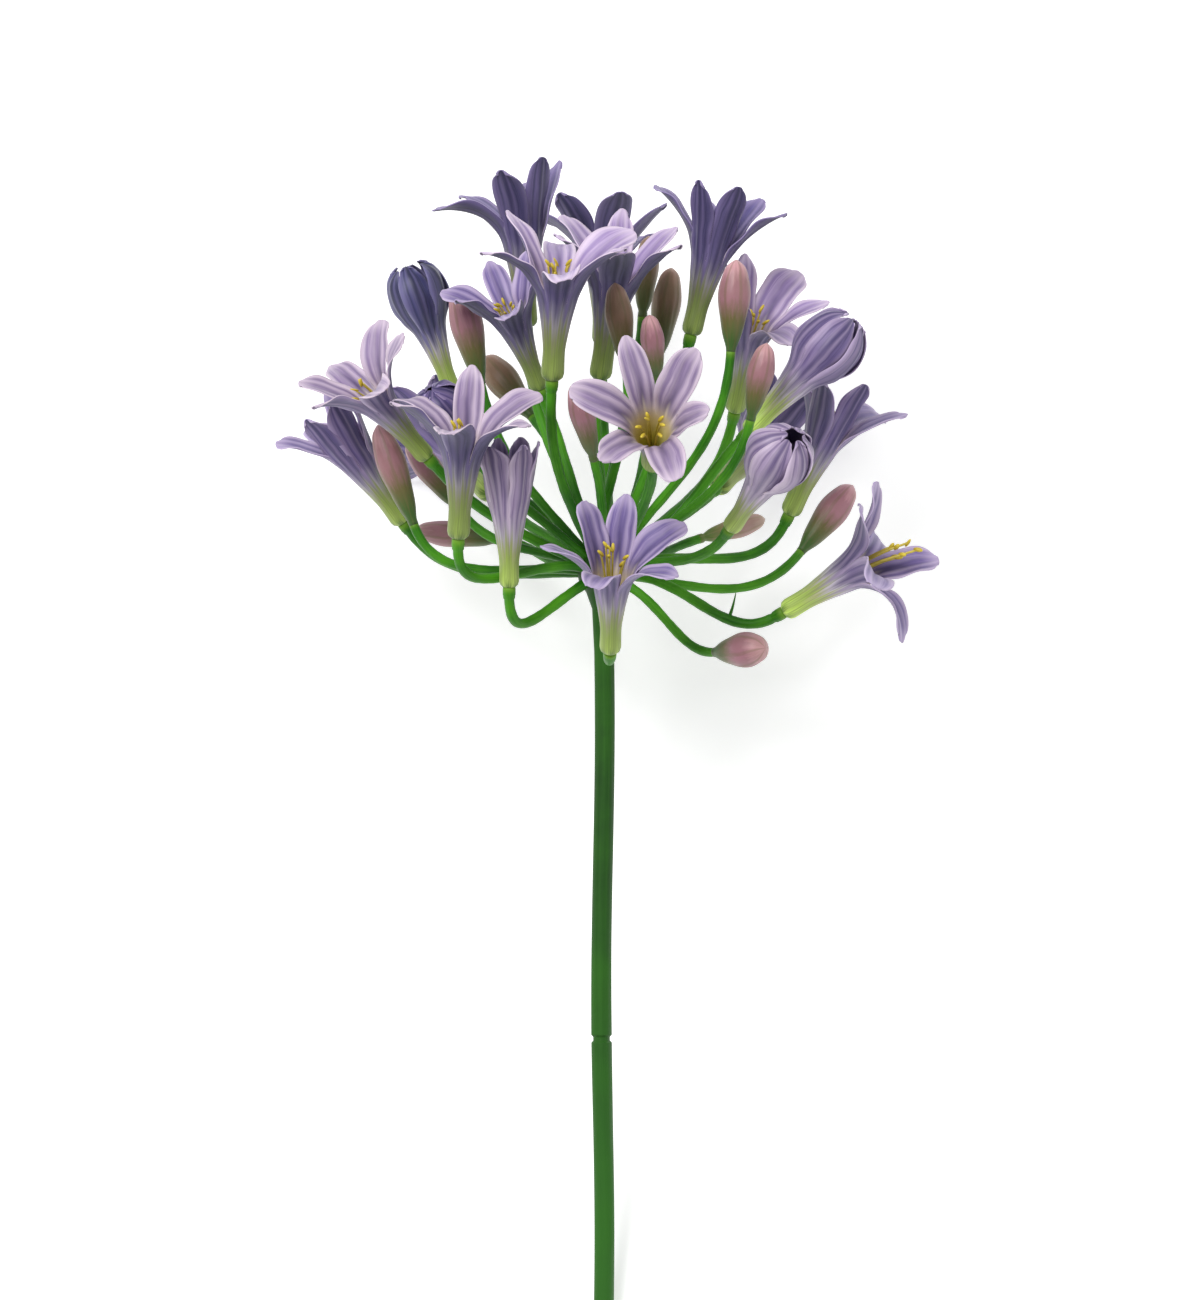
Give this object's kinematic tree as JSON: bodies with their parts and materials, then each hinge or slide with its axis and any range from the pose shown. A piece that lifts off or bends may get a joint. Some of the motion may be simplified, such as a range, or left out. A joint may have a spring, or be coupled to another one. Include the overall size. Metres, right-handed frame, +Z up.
{
  "type": "agapanthus flower",
  "caption": "Round umbel of lilac funnel-shaped florets and mauve buds on curved green stalks, on a cut stem that lies on its side.",
  "frame": {"origin": "centre of the bounding box, on the level surface that the flower lies on", "axes": "+Y along the stem's run over the surface from the cut end to the head, +X across the head, +Z up"},
  "size_m": [0.199, 0.3466, 0.1727],
  "materials": {
    "stem": "satin",
    "stalks": "satin",
    "petals": "matte",
    "buds": "matte",
    "stamens": "matte"
  },
  "bodies": {
    "root": {"stem": "stem", "floret_01": "petals", "pedicel_01": "stalks", "floret_02": "petals", "pedicel_02": "stalks", "floret_03": "petals", "pedicel_03": "stalks", "floret_04": "petals", "pedicel_04": "stalks", "floret_05": "petals", "pedicel_05": "stalks", "floret_06": "petals", "pedicel_06": "stalks", "floret_07": "petals", "pedicel_07": "stalks", "floret_08": "petals", "pedicel_08": "stalks", "floret_09": "petals", "pedicel_09": "stalks", "floret_10": "petals", "pedicel_10": "stalks", "floret_11": "petals", "pedicel_11": "stalks", "floret_12": "petals", "pedicel_12": "stalks", "floret_13": "petals", "pedicel_13": "stalks", "floret_14": "petals", "pedicel_14": "stalks", "floret_15": "petals", "pedicel_15": "stalks", "floret_16": "petals", "pedicel_16": "stalks", "floret_17": "petals", "pedicel_17": "stalks", "floret_18": "petals", "pedicel_18": "stalks", "floret_19": "petals", "pedicel_19": "stalks", "floret_20": "petals", "pedicel_20": "stalks", "stamens_11": "stamens", "stamens_12": "stamens", "stamens_17": "stamens", "bud_01": "buds", "bud_02": "buds", "bud_03": "buds", "bud_04": "buds", "bud_05": "buds", "bud_06": "buds", "bud_07": "buds", "bud_08": "buds", "bud_09": "buds", "bud_10": "buds", "bud_11": "buds", "bud_12": "buds", "bud_13": "buds", "bud_14": "buds", "bud_15": "buds", "bud_16": "buds"}
  },
  "joints": []
}
